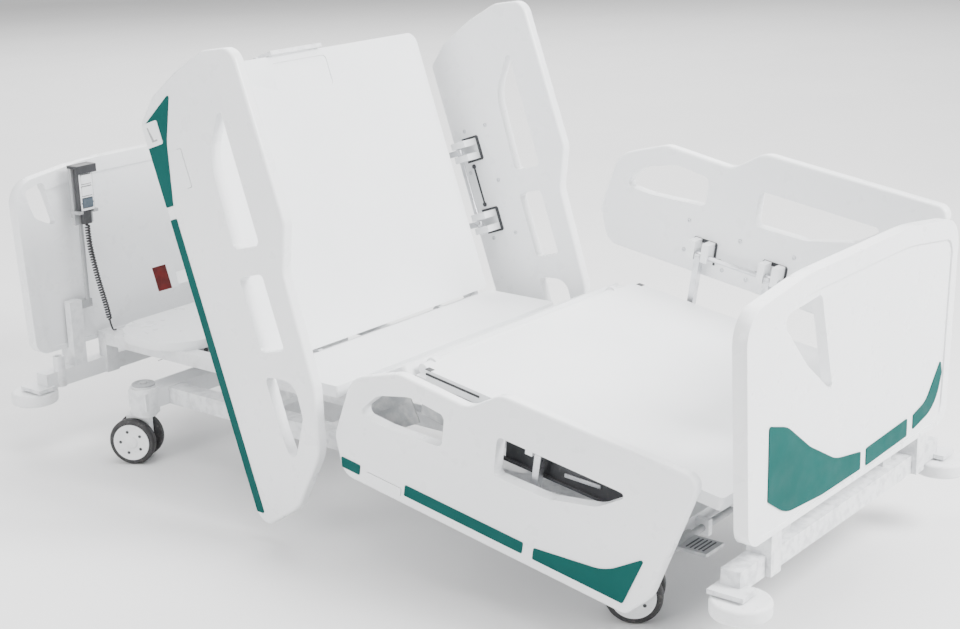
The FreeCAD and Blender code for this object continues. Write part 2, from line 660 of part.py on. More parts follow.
def make_rail(kind, side, lowered):
    """One rail with its coloured bands, swing arms and release handle."""
    sign = -1 if side == "right" else 1
    way = 1 if kind == "back" else -1
    place = back_frame() if kind == "back" else calf_frame()
    face, windows, bands = ((BACK_RAIL, BACK_WINDOWS, BACK_BANDS) if kind == "back"
                            else (FOOT_RAIL, FOOT_WINDOWS, FOOT_BANDS))
    reach = dim(kind + "_arm")
    drop = 2 * reach if lowered else 0
    inner = dim(kind + "_rail_x")
    thick = dim("rail_thick")
    rod_x = sign * rail_rod_x(kind)
    pivot = dim(kind + "_pivot")
    top = pivot + reach - drop
    spots = [way * dim(kind + "_arm_a"), way * dim(kind + "_arm_b")]
    length = abs(spots[1] - spots[0])
    start = min(spots) - 30
    name = "%s_%s" % (kind, side)

    loops = [along(kind, loop, drop) for loop in [face] + windows]
    low = inner if sign > 0 else -inner - thick
    shell = soften(slab("Rail", "YZ_Plane", loops, low, "rail_thick"), 7)
    lug_width = inner - abs(rod_x) + LUG_REST
    lug_x = inner - lug_width if sign > 0 else -inner
    # two lugs take each arm between them
    lugs = [box((lug_width, LUG_DEPTH, "lug_height"), (lug_x, spot + offset, top - 13))
            for spot in spots for offset in (-LUG_DEPTH - 10, 10)]
    bore = rod("rod_radius + rod_gap", length + 100, (rod_x, start - 20, top), "y")
    pocket = release_body(kind, sign, drop, 1, POCKET_DEPTH, 5)
    node(cut(fuse([shell] + lugs), [bore, pocket]), "rail_" + name, place)

    loops = [along(kind, loop, drop) for loop in bands]
    outer = inner + thick if sign > 0 else -inner - thick - dim("band_thick")
    node(slab("Band", "YZ_Plane", loops, outer, "band_thick"), "rail_band_" + name, place)

    parts = []
    foot = min(pivot, top)
    for spot in spots:
        parts.append(box(("2 * arm_radius - 4", "arm_thick", reach),
                         ("%g - arm_radius + 2" % rod_x, "%g - arm_thick / 2" % spot, foot)))
    for high in (pivot, top):
        parts.append(rod("rod_radius", length + 60, (rod_x, start, high), "y"))
        for spot in spots:
            parts.append(rod("arm_radius - 1", "arm_thick", (rod_x, "%g - arm_thick / 2" % spot, high), "y"))
    node(fuse(parts), "rail_arm_" + name, place)
    node(release_body(kind, sign, drop, 0, HANDLE_DEPTH, 2), "rail_release_" + name, place)


# Release handles: a slim bar in the band's line, its span along the rail and its heights.
RELEASES = {"back": (470, 560, 64, 82), "foot": (-40, 60, 96, 114)}
HANDLE_DEPTH = 6
POCKET_DEPTH = 12


def release_body(kind, sign, drop, slack, sunk, proud):
    """A release handle, or with slack its pocket, sunk in the rail and proud of it."""
    low, high, bottom, top = RELEASES[kind]
    outer = dim(kind + "_rail_x") + dim("rail_thick")
    x = outer - sunk if sign > 0 else -outer - proud
    y = low if kind == "back" else -high
    size = (sunk + proud, high - low + 2 * slack, top - bottom + 2 * slack)
    body = box(size, (x, y - slack, bottom - drop - slack))
    return fillet(body, 4, lambda edge: abs(edge.Length - sunk - proud) < 0.01)


def soften(shell, radius):
    """Round the long edges of a rail's faces."""
    doc.recompute()
    faces = [f for f in shell.Shape.Faces if abs(f.normalAt(0, 0).x) > 0.99]
    picked = []
    for face in faces:
        for edge in face.OuterWire.Edges:
            picked += [n for n, other in enumerate(shell.Shape.Edges, start=1) if other.isSame(edge)]
    item = doc.addObject("Part::Fillet", "Soft")
    item.Base = shell
    item.Edges = [(n, radius, radius) for n in sorted(set(picked))]
    doc.recompute()
    return item


# ---------------------------------------------------------------- push rods, handset

def make_push_rods():
    """Each actuator's rod, with a yoke whose pin runs in the crank's slot."""
    drop = dim("hinge_high") - dim("actuator_high")
    tilt_back = math.radians(dim("back_angle") / 2)
    tilt_thigh = math.radians((dim("thigh_angle") - dim("thigh_extra")) / 2)
    pin_back = dim("back_hinge_y") + drop * math.tan(tilt_back)
    pin_thigh = -dim("thigh_hinge_y") - drop * math.tan(tilt_thigh)
    for name, x, pin, start in (("back", 0, pin_back, -98), ("thigh", dim("thigh_drive_x"), pin_thigh, -350)):
        bar = rod("push_radius", pin - 46 - start, (x, start, "actuator_high"), "y")
        yoke = box((44, 10, 24), (x - 22, pin - 50, "actuator_high - 12"))
        tines = [box((8, 56, 20), (x + side, pin - 46, "actuator_high - 10")) for side in (-22, 14)]
        pin_bar = rod("crank_pin", 44, (x - 22, pin, "actuator_high"), "x")
        node(fuse([bar, yoke, pin_bar] + tines), "push_rod_" + name)


HANDSET_X = -285
STALK_Y = 1046
KEY_HIGHS = (732, 700, 668)
KEY_POCKET_Y = 1008


def make_handset():
    """The handset with its rocking keys, hung from a hook on a bent stalk."""
    stalk = [rod(6, 270, (HANDSET_X, STALK_Y, 380))]
    stalk.append(box((36, 20, 22), ("-pin_x + 20", "bar_y + 1", 374)))
    stalk.append(centred((60, 11, 160), (HANDSET_X, 1034.5, 608)))
    stalk.append(centred((60, 6, 12), (HANDSET_X, 1040, 628)))
    stalk.append(centred((66, 38, 8), (HANDSET_X, 1021, "handset_top + 2")))
    stalk.append(centred((66, 5, 22), (HANDSET_X, 1003.5, "handset_top - 12")))
    for side in (-25, 25):
        stalk.append(centred((14, 34, 8), (HANDSET_X + side, 1023, "neck_high - 8.5")))
    node(fuse(stalk), "handset_stalk")
    head = centred(("handset_width", "handset_thick", "handset_top - neck_high"),
                   (HANDSET_X, "handset_y", "neck_high"))
    neck = centred((30, 16, "neck_high - handset_low + 20"), (HANDSET_X, "handset_y + 1", "handset_low"))
    shell = fuse([fillet(head, 8, lambda edge: edge.Length > 100),
                  fillet(neck, 6, lambda edge: edge.Length > 50)])
    node(cut(shell, [cut_key(high) for high in KEY_HIGHS]), "handset")
    for name, high in zip(("back", "thigh", "height"), KEY_HIGHS):
        pad = centred((32, 6, 24), (HANDSET_X, "key_y", high - 12))
        pin = rod("key_pin", 38, (HANDSET_X - 19, "key_y", high), "x")
        node(fuse([pad, pin]), "key_" + name)


def cut_key(high):
    """The pocket of one handset key, with the bore of its rocking pin."""
    pocket = centred((34, 10, 28), (HANDSET_X, KEY_POCKET_Y, high - 14))
    return fuse([pocket, rod("key_pin + 0.05", 40, (HANDSET_X - 20, "key_y", high), "x")])


COIL_ROUTE = [(-285, 1018, 610), (-285, 1018, 562), (-282, 1010, 508), (-276, 1006, 458),
              (-267, 1003, 412), (-258, 1002, 372), (-252, 1001, 334)]
TAIL_ROUTE = [(-252, 1001, 334), (-250, 1000.6, 322), (-244, 1003, 307), (-233, 1012, 299),
              (-220, 1019, 296.6)]


def pipe(points, radius):
    """A cord's solid: straight runs joined by tangent arcs, swept with its round section."""
    route = [Vector(*p) for p in points]
    edges = []
    last = route[0]
    length = 0
    radii = []
    for n in range(1, len(route) - 1):
        back = route[n - 1] - route[n]
        ahead = route[n + 1] - route[n]
        shorter = min(back.Length, ahead.Length)
        turn = math.pi - back.getAngle(ahead)
        reach = 0.45 * shorter
        bend = reach / math.tan(turn / 2)
        radii.append(round(bend, 1))
        back.normalize()
        ahead.normalize()
        first = route[n] + back * reach
        end = route[n] + ahead * reach
        middle = back + ahead
        middle.normalize()
        crown = route[n] + middle * (bend / math.cos(turn / 2) - bend)
        edges.append(Part.LineSegment(last, first).toShape())
        edges.append(Part.Arc(first, crown, end).toShape())
        length += (first - last).Length + bend * turn
        last = end
    edges.append(Part.LineSegment(last, route[-1]).toShape())
    length += (route[-1] - last).Length
    path = Part.Wire(edges)
    circle = Part.Wire(Part.makeCircle(radius, route[0], route[1] - route[0]))
    solid = path.makePipeShell([circle], True, True)
    print("cord radius %g, bends %s, length %.1f, volume ratio %.4f"
          % (radius, radii, length, solid.Volume / (math.pi * radius ** 2 * length)))
    item = doc.addObject("Part::Feature", "Cord")
    item.Shape = solid
    return item


def make_cord():
    node(pipe(COIL_ROUTE, 8), "cord_coil")
    node(pipe(TAIL_ROUTE, 3), "cord_tail")


# ---------------------------------------------------------------- build and write

make_base_frame()
make_columns()
make_brake()
make_castors()
make_upper_frame()
make_seat()
make_head_cover()
make_control_box()
make_actuators()
for end, way in (("head", 1), ("foot", -1)):
    make_end_bar(end, way)
    make_board(end, way)
make_foot_band()
make_backrest()
make_cpr_handles()
make_thigh()
make_calf()
for kind in ("back", "foot"):
    for side in ("right", "left"):
        make_rail(kind, side, lowered=(kind == "foot" and side == "right"))
make_push_rods()
make_handset()
make_cord()
doc.recompute()

for item in doc.Objects:
    assert "Invalid" not in item.State and "Error" not in item.State, item.Label
for item in NODES:
    assert not item.Shape.isNull() and item.Shape.isValid(), item.Label

os.makedirs("parts", exist_ok=True)
for item in NODES:
    item.Shape.exportStep("parts/%s.step" % item.Label)
print(len(NODES), "nodes")
whole = Part.makeCompound([item.Shape for item in NODES]).BoundBox
print("X %.1f %.1f  Y %.1f %.1f  Z %.1f %.1f"
      % (whole.XMin, whole.XMax, whole.YMin, whole.YMax, whole.ZMin, whole.ZMax))
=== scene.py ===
import json
import math

import bmesh
import bpy
from mathutils import Matrix, Vector


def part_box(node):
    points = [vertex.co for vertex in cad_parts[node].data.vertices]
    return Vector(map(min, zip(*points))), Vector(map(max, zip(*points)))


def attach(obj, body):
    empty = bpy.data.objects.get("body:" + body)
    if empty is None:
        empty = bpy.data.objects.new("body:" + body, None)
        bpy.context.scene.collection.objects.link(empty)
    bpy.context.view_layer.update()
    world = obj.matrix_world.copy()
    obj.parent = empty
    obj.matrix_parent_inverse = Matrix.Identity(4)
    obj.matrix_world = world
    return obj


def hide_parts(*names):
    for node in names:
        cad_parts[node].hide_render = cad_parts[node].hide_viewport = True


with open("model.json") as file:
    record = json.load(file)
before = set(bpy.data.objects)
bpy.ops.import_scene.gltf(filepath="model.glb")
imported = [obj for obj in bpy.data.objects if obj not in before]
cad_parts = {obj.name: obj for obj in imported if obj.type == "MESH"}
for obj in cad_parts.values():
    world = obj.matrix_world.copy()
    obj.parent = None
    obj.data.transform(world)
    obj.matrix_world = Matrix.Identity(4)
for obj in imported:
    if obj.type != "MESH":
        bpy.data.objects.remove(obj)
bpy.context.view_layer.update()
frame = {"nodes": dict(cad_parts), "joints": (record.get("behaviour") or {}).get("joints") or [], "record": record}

# Looks of the adjustable hospital bed. Metres. The bed's right side is -X, its head end +Y.

JOINTS = {joint["name"]: joint for joint in frame["joints"]}
NODES = frame["nodes"]
UP = Vector((0, 0, 1))
ENDS = {"head": 1, "foot": -1}
SIDES = {"right": -1, "left": 1}


def joint_at(name):
    return Vector(JOINTS[name]["pos_m"])


def axes(origin, across, along, up):
    """A placement from its origin and its three axes."""
    return Matrix.Translation(origin) @ Matrix((across, along, up)).transposed().to_4x4()


# ---------------------------------------------------------------- camera

CAMERA_PLACE = Vector((-3.0591, -2.5751, 1.6254))
CAMERA_YAW = 50.969
CAMERA_PITCH = 16.387
CAMERA_ROLL = -1.532
CAMERA_LENS = 63.42


def make_camera():
    data = bpy.data.cameras.new("camera")
    data.lens = CAMERA_LENS
    data.clip_end = 100
    camera = bpy.data.objects.new("camera", data)
    bpy.context.scene.collection.objects.link(camera)
    turn = Matrix.Rotation(-math.radians(CAMERA_YAW), 4, "Z")
    turn = turn @ Matrix.Rotation(math.radians(90 - CAMERA_PITCH), 4, "X")
    turn = turn @ Matrix.Rotation(math.radians(CAMERA_ROLL), 4, "Z")
    camera.matrix_world = Matrix.Translation(CAMERA_PLACE) @ turn
    bpy.context.scene.camera = camera


# ---------------------------------------------------------------- material parts

SOCKETS = {"coat_weight": "Coat Weight", "coat_roughness": "Coat Roughness",
           "specular_ior_level": "Specular IOR Level"}


class Look:
    """One material: its nodes, and the textures that they are made from."""

    def __init__(self, name):
        self.material = bpy.data.materials.new(name)
        self.material.use_nodes = True
        self.tree = self.material.node_tree
        self.shader = self.tree.nodes["Principled BSDF"]
        self.place = self.add("ShaderNodeTexCoord").outputs["Object"]
        self.heights = []

    def add(self, kind, **settings):
        item = self.tree.nodes.new(kind)
        for key, value in settings.items():
            setattr(item, key, value)
        return item

    def link(self, source, target):
        self.tree.links.new(source, target)

    def stretched(self, stretch):
        mapping = self.add("ShaderNodeMapping")
        mapping.inputs["Scale"].default_value = stretch
        self.link(self.place, mapping.inputs["Vector"])
        return mapping.outputs["Vector"]

    def noise(self, size, detail=4, stretch=None):
        """Soft noise whose lumps are about this many metres wide."""
        item = self.add("ShaderNodeTexNoise")
        item.inputs["Scale"].default_value = 1 / size
        item.inputs["Detail"].default_value = detail
        self.link(self.stretched(stretch) if stretch else self.place, item.inputs["Vector"])
        return item.outputs["Fac"]

    def cells(self, size):
        """Rounded cells, as in a leather-like moulded grain."""
        item = self.add("ShaderNodeTexVoronoi", feature="SMOOTH_F1")
        item.inputs["Scale"].default_value = 1 / size
        self.link(self.place, item.inputs["Vector"])
        return item.outputs["Distance"]

    def ramp(self, source, start, end, low=0.0, high=1.0):
        """The source's span from start to end, spread over low to high."""
        item = self.add("ShaderNodeMapRange")
        for key, value in (("From Min", start), ("From Max", end), ("To Min", low), ("To Max", high)):
            item.inputs[key].default_value = value
        self.link(source, item.inputs["Value"])
        return item.outputs["Result"]

    def mix(self, amount, first, second):
        """A colour between two, each a tuple or another node's output."""
        item = self.add("ShaderNodeMix", data_type="RGBA")
        self.link(amount, item.inputs["Factor"])
        for socket, value in ((item.inputs[6], first), (item.inputs[7], second)):
            if isinstance(value, tuple):
                socket.default_value = value + (1,)
            else:
                self.link(value, socket)
        return item.outputs[2]

    def worn_edges(self, first, second, amount=0.5):
        """A second colour along the sharp edges, broken up by noise."""
        geometry = self.add("ShaderNodeNewGeometry")
        edge = self.ramp(geometry.outputs["Pointiness"], 0.52, 0.58)
        broken = self.add("ShaderNodeMath", operation="MULTIPLY")
        self.link(edge, broken.inputs[0])
        self.link(self.ramp(self.noise(0.02), 0.45, 0.62, 0, amount), broken.inputs[1])
        return self.mix(broken.outputs["Value"], first, second)

    def height(self, source, depth):
        """Relief of this depth in metres, laid over the relief that is there."""
        self.heights.append((source, depth))

    def finish(self, color, rough, metal=0.0, **shader):
        """Joins colour, roughness and relief to the shader."""
        self.link(color, self.shader.inputs["Base Color"])
        self.link(rough, self.shader.inputs["Roughness"])
        self.shader.inputs["Metallic"].default_value = metal
        for key, value in shader.items():
            self.shader.inputs[SOCKETS[key]].default_value = value
        normal = None
        for source, depth in self.heights:
            bump = self.add("ShaderNodeBump")
            bump.inputs["Distance"].default_value = depth
            self.link(source, bump.inputs["Height"])
            if normal is not None:
                self.link(normal, bump.inputs["Normal"])
            normal = bump.outputs["Normal"]
        self.link(normal, self.shader.inputs["Normal"])
        return self.material


# ---------------------------------------------------------------- materials

def white_plastic():
    """Glossy moulded plastic with faint hand smudges, hairlines and a little shrinkage."""
    look = Look("white_plastic")
    color = look.mix(look.ramp(look.noise(0.35), 0.3, 0.7), (0.86, 0.87, 0.88), (0.82, 0.835, 0.85))
    color = look.mix(look.ramp(look.noise(0.012, 8), 0.66, 0.78, 0, 0.25), color, (0.70, 0.70, 0.69))
    rough = look.ramp(look.noise(0.05, 6), 0.3, 0.7, 0.24, 0.40)
    look.height(look.noise(0.25, 2), 0.0012)
    look.height(look.cells(0.0009), 0.00003)
    look.height(look.noise(0.01, 8, (1, 14, 1)), 0.00004)
    return look.finish(color, rough, coat_weight=0.15, coat_roughness=0.2)


def deck_plastic():
    """Satin deck plastic with a coarser grain that hides scratches."""
    look = Look("deck_plastic")
    color = look.mix(look.ramp(look.noise(0.3), 0.3, 0.7), (0.85, 0.86, 0.87), (0.80, 0.815, 0.83))
    scratches = look.ramp(look.noise(0.008, 10, (1, 6, 1)), 0.62, 0.75, 0, 0.3)
    color = look.mix(scratches, color, (0.66, 0.66, 0.65))
    rough = look.ramp(look.noise(0.08, 6), 0.3, 0.7, 0.38, 0.55)
    look.height(look.noise(0.3, 2), 0.0015)
    look.height(look.cells(0.0022), 0.00008)
    return look.finish(color, rough)


def frame_paint():
    """Powder coat: orange peel, dust in the low spots and chips along the edges."""
    look = Look("frame_paint")
    color = look.mix(look.ramp(look.noise(0.15), 0.3, 0.7), (0.78, 0.79, 0.80), (0.72, 0.735, 0.75))
    color = look.mix(look.ramp(look.noise(0.03, 9), 0.60, 0.75, 0, 0.4), color, (0.52, 0.51, 0.49))
    color = look.worn_edges(color, (0.42, 0.43, 0.45))
    rough = look.ramp(look.noise(0.04, 6), 0.3, 0.7, 0.30, 0.48)
    look.height(look.noise(0.0035, 2), 0.0001)
    look.height(look.noise(0.06, 2), 0.0004)
    return look.finish(color, rough)


def teal_film():
    """Inlaid coloured plastic, a little paler where it has been rubbed."""
    look = Look("teal_film")
    color = look.mix(look.ramp(look.noise(0.12), 0.3, 0.7), (0.0, 0.060, 0.054), (0.0, 0.070, 0.063))
    rubbed = look.ramp(look.noise(0.01, 9, (1, 8, 1)), 0.63, 0.75, 0, 0.3)
    color = look.mix(rubbed, color, (0.004, 0.085, 0.077))
    rough = look.ramp(look.noise(0.05, 6), 0.3, 0.7, 0.54, 0.68)
    look.height(look.cells(0.0011), 0.00004)
    return look.finish(color, rough, specular_ior_level=0.12)


def grey_plastic():
    """Matt grey housings with a spark-eroded grain and dust."""
    look = Look("grey_plastic")
    color = look.mix(look.ramp(look.noise(0.1), 0.3, 0.7), (0.36, 0.37, 0.38), (0.30, 0.31, 0.32))
    color = look.mix(look.ramp(look.noise(0.02, 9), 0.58, 0.76, 0, 0.35), color, (0.50, 0.49, 0.47))
    color = look.worn_edges(color, (0.55, 0.55, 0.54))
    rough = look.ramp(look.noise(0.03, 6), 0.3, 0.7, 0.42, 0.62)
    look.height(look.cells(0.0012), 0.00007)
    return look.finish(color, rough)


def dark_plastic():
    """Near-black moulded plastic, greyed by dust and rubbed shiny in places."""
    look = Look("dark_plastic")
    color = look.mix(look.ramp(look.noise(0.06), 0.3, 0.7), (0.022, 0.023, 0.026), (0.035, 0.036, 0.04))
    color = look.mix(look.ramp(look.noise(0.008, 9), 0.6, 0.8, 0, 0.3), color, (0.13, 0.13, 0.125))
    rough = look.ramp(look.noise(0.02, 6), 0.3, 0.7, 0.34, 0.6)
    look.height(look.cells(0.0010), 0.00006)
    return look.finish(color, rough)


def zinc():
    """Zinc-plated steel with drawn streaks and cloudy patches."""
    look = Look("zinc")
    color = look.mix(look.ramp(look.noise(0.03, 6), 0.35, 0.7), (0.66, 0.67, 0.69), (0.50, 0.51, 0.53))
    color = look.mix(look.ramp(look.noise(0.004, 8), 0.62, 0.8, 0, 0.5), color, (0.30, 0.29, 0.27))
    rough = look.ramp(look.noise(0.004, 8, (1, 0.05, 1)), 0.3, 0.7, 0.24, 0.46)
    look.height(look.noise(0.0015, 4, (1, 0.04, 1)), 0.00004)
    return look.finish(color, rough, metal=1.0)


def tyre():
    """Polyurethane tread: dark, scuffed and dusty from the floor."""
    look = Look("tyre")
    color = look.mix(look.ramp(look.noise(0.02, 6), 0.35, 0.7), (0.016, 0.016, 0.018), (0.035, 0.034, 0.034))
    color = look.mix(look.ramp(look.noise(0.006, 9), 0.55, 0.75, 0, 0.4), color, (0.16, 0.15, 0.14))
    rough = look.ramp(look.noise(0.01, 6), 0.3, 0.7, 0.42, 0.72)
    look.height(look.noise(0.0012, 5), 0.00015)
    return look.finish(color, rough)


def red_grip():
    """Emergency grip: red plastic, polished by hands at its corners."""
    look = Look("red_grip")
    cloud = look.ramp(look.noise(0.03, 5), 0.3, 0.7)
    color = look.mix(cloud, (0.060, 0.0002, 0.0003), (0.045, 0.0001, 0.0002))
    color = look.worn_edges(color, (0.16, 0.006, 0.006))
    rough = look.ramp(look.noise(0.012, 6), 0.3, 0.7, 0.42, 0.58)
    look.height(look.cells(0.0013), 0.00008)
    return look.finish(color, rough, specular_ior_level=0.15)


def bumper_plastic():
    """Soft roller plastic, marked all round by door frames."""
    look = Look("bumper")
    color = look.mix(look.ramp(look.noise(0.05), 0.3, 0.7), (0.84, 0.85, 0.86), (0.78, 0.79, 0.80))
    color = look.mix(look.ramp(look.noise(0.01, 9, (1, 1, 8)), 0.6, 0.72, 0, 0.45), color, (0.45, 0.44, 0.43))
    rough = look.ramp(look.noise(0.02, 6), 0.3, 0.7, 0.36, 0.56)
    look.height(look.noise(0.004, 5), 0.0001)
    return look.finish(color, rough)


def cord_rubber():
    """Black cord jacket with a faint bloom."""
    look = Look("cord")
    color = look.mix(look.ramp(look.noise(0.01, 6), 0.3, 0.7), (0.016, 0.016, 0.018), (0.04, 0.04, 0.042))
    rough = look.ramp(look.noise(0.005, 6), 0.3, 0.7, 0.32, 0.55)
    look.height(look.noise(0.0008, 4), 0.00004)
    return look.finish(color, rough)


def key_rubber():
    """Silicone key pads, a little greasy."""
    look = Look("key")
    color = look.mix(look.ramp(look.noise(0.008, 6), 0.3, 0.7), (0.05, 0.075, 0.10), (0.08, 0.105, 0.13))
    rough = look.ramp(look.noise(0.006, 6), 0.3, 0.7, 0.4, 0.62)
    look.height(look.noise(0.0006, 4), 0.00005)
    return look.finish(color, rough)


def pale_floor():
    """A pale, slightly cloudy studio floor."""
    look = Look("pale_floor")
    color = look.mix(look.ramp(look.noise(0.8, 5), 0.3, 0.7), (0.80, 0.80, 0.80), (0.77, 0.77, 0.775))
    rough = look.ramp(look.noise(0.2, 5), 0.3, 0.7, 0.55, 0.75)
    look.height(look.noise(0.01, 5), 0.0001)
    return look.finish(color, rough)


LOOKS = {
    "white_plastic": white_plastic, "deck_plastic": deck_plastic, "frame_paint": frame_paint,
    "teal_film": teal_film, "grey_plastic": grey_plastic, "dark_plastic": dark_plastic,
    "zinc": zinc, "tyre": tyre, "red_grip": red_grip, "bumper": bumper_plastic,
    "cord": cord_rubber, "key": key_rubber,
}
MATERIALS = {name: make() for name, make in LOOKS.items()}

EDGE_ROUND = 0.0012
EDGE_ANGLE = math.radians(50)


def dress_nodes():
    """Every CAD node takes its slot's material, and its sharp edges are eased a little."""
    for row in frame["record"]["subparts"]:
        item = NODES[row["node"]]
        item.data.materials.clear()
        item.data.materials.append(MATERIALS[row["material_slot"]])
        ease_edges(item, EDGE_ROUND)


def paint(name, slot, picks):
    """A second material on the faces of a node that a test of their middle and direction picks."""
    item = NODES[name]
    item.data.materials.append(MATERIALS[slot])
    turn = item.matrix_world.to_3x3()
    for face in item.data.polygons:
        if picks(item.matrix_world @ face.center, (turn @ face.normal).normalized()):
            face.material_index = len(item.data.materials) - 1


# how much of an emergency handle, from its free end, is its red grip
GRIP_TOP = 0.052
# the handset's hook starts at this height
HOOK_LOW = 0.742


def paint_nodes():
    """Parts of one moulding that differ in colour."""
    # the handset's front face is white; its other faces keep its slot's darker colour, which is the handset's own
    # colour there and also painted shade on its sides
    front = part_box("handset")[0].y + 0.001
    paint("handset", "white_plastic", lambda at, out: out.y < -0.9 and at.y < front)
    paint("handset_stalk", "dark_plastic", lambda at, out: at.z > HOOK_LOW)
    # an emergency handle's grip is its lowest stretch, measured square to the backrest
    back = section("backrest", "back").inverted()
    for side in SIDES:
        name = "cpr_handle_" + side
        levels = [(back @ (NODES[name].matrix_world @ v.co)).z for v in NODES[name].data.vertices]
        grip = min(levels) + GRIP_TOP
        paint(name, "white_plastic", lambda at, out: (back @ at).z > grip)


def ease_edges(item, width):
    weld = item.modifiers.new("weld", "WELD")
    weld.merge_threshold = 0.00001
    bevel = item.modifiers.new("edges", "BEVEL")
    bevel.width = width
    bevel.segments = 2
    bevel.limit_method = "ANGLE"
    bevel.angle_limit = EDGE_ANGLE
    bevel.harden_normals = True


# ---------------------------------------------------------------- shapes of the added pieces

class Piece:
    """A mesh put together from blocks, discs, lathed rings and flat outlines."""

    def __init__(self):
        self.mesh = bmesh.new()

    def block(self, size, at, turn=0.0):
        """A block of three lengths, centred on a point and turned about its X axis."""
        grow = Matrix.Translation(at) @ Matrix.Rotation(turn, 4, "X") @ Matrix.Diagonal((*size, 1))
        bmesh.ops.create_cube(self.mesh, size=1, matrix=grow)

    def lathe(self, profile, at, axis="z", steps=48):
        """Turns (radius, height) points about an axis through a point."""
        aim = {"x": Matrix.Rotation(math.pi / 2, 4, "Y"), "y": Matrix.Rotation(-math.pi / 2, 4, "X"),
               "z": Matrix.Identity(4)}[axis]
        place = Matrix.Translation(at) @ aim
        rings = []
        for radius, high in profile:
            ring = []
            for n in range(steps if radius else 1):
                angle = 2 * math.pi * n / steps
                point = Vector((radius * math.cos(angle), radius * math.sin(angle), high))
                ring.append(self.mesh.verts.new(place @ point))
            rings.append(ring)
        for first, second in zip(rings, rings[1:]):
            for n in range(steps):
                here = [first[n % len(first)], second[n % len(second)]]
                there = [second[(n + 1) % len(second)], first[(n + 1) % len(first)]]
                corners = list(dict.fromkeys(here + there))
                self.mesh.faces.new(corners)

    def disc(self, radius, thick, at, axis="z", steps=32):
        profile = [(0, 0), (radius, 0), (radius, thick), (0, thick)]
        self.lathe(profile, at, axis, steps)

    def plate(self, points, low, thick, axis="x"):
        """A flat outline of (u, v) points, made solid along X or Z."""
        place = {"x": lambda u, v, w: (w, u, v), "z": lambda u, v, w: (u, v, w)}[axis]
        layers = [[self.mesh.verts.new(place(u, v, w)) for u, v in points] for w in (low, low + thick)]
        self.mesh.faces.new(layers[0])
        self.mesh.faces.new(layers[1][::-1])
        count = len(points)
        for n in range(count):
            after = (n + 1) % count
            self.mesh.faces.new([layers[0][n], layers[1][n], layers[1][after], layers[0][after]])

    def done(self, name, slot, body, place=None, edge=0.0006):
        """The finished piece in its place, dressed and riding on a body."""
        if place is not None:
            bmesh.ops.transform(self.mesh, matrix=place, verts=self.mesh.verts)
        bmesh.ops.recalc_face_normals(self.mesh, faces=self.mesh.faces)
        data = bpy.data.meshes.new(name)
        self.mesh.to_mesh(data)
        self.mesh.free()
        data.materials.append(MATERIALS[slot])
        data.shade_smooth()
        data.set_sharp_from_angle(angle=math.radians(35))
        item = bpy.data.objects.new(name, data)
        bpy.context.scene.collection.objects.link(item)
        if edge:
            ease_edges(item, edge)
        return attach(item, body)


def arc(centre_u, centre_v, radius, start, end, steps=8):
    """Points on an arc between two angles in degrees."""
    angles = [math.radians(start + (end - start) * n / steps) for n in range(steps + 1)]
    return [(centre_u + radius * math.cos(a), centre_v + radius * math.sin(a)) for a in angles]


def rounded(half_u, half_v, radius, centre=(0, 0)):
    """A rectangle's outline with round corners."""
    points = []
    corners = (((1, 1), 0), ((-1, 1), 90), ((-1, -1), 180), ((1, -1), 270))
    for (way_u, way_v), start in corners:
        points += arc(centre[0] + way_u * (half_u - radius), centre[1] + way_v * (half_v - radius),
                      radius, start, start + 90, 5)
    return points


def screw(piece, at, axis="x", way=1, radius=0.0045):
    """A low dome-headed screw with a dished socket."""
    profile = [(radius, 0), (radius, 0.0008), (radius * 0.8, 0.0018), (radius * 0.45, 0.0021),
               (radius * 0.4, 0.0006), (0, 0.0006)]
    piece.lathe([(r, way * h) for r, h in profile], at, axis, 20)


# ---------------------------------------------------------------- handset cord

# The route repeats the cord's route in the CAD source.
COIL_ROUTE = [(-0.285, 1.018, 0.610), (-0.285, 1.018, 0.562), (-0.282, 1.010, 0.508), (-0.276, 1.006, 0.458),
              (-0.267, 1.003, 0.412), (-0.258, 1.002, 0.372), (-0.252, 1.001, 0.334)]
TAIL_ROUTE = [(-0.252, 1.001, 0.334), (-0.250, 1.0006, 0.322), (-0.244, 1.003, 0.307), (-0.233, 1.012, 0.299),
              (-0.220, 1.019, 0.2966)]
CORD_THICK = 0.005
COIL_RADIUS = 0.0055
COIL_TURNS = 38
TURN_POINTS = 12


def spline_curve(name, points):
    """A smooth open curve with these control points."""
    data = bpy.data.curves.new(name, "CURVE")
    data.dimensions = "3D"
    data.resolution_u = 4
    spline = data.splines.new("NURBS")
    spline.points.add(len(points) - 1)
    for point, place in zip(spline.points, points):
        point.co = (*place, 1)
    spline.order_u = 3
    spline.use_endpoint_u = True
    return bpy.data.objects.new(name, data)


def smooth_line(points):
    """The points along the smooth curve of a route."""
    bare = spline_curve("route", points)
    mesh = bpy.data.meshes.new_from_object(bare)
    line = [vertex.co.copy() for vertex in mesh.vertices]
    bpy.data.meshes.remove(mesh)
    bpy.data.curves.remove(bare.data)
    return line


def along_line(line, share):
    """The point at a share of a line's length, and the line's direction there."""
    steps = [(b - a).length for a, b in zip(line, line[1:])]
    left = share * sum(steps)
    for a, b, step in zip(line, line[1:], steps):
        if left <= step:
            return a.lerp(b, left / step), (b - a).normalized()
        left -= step
    return line[-1], (line[-1] - line[-2]).normalized()


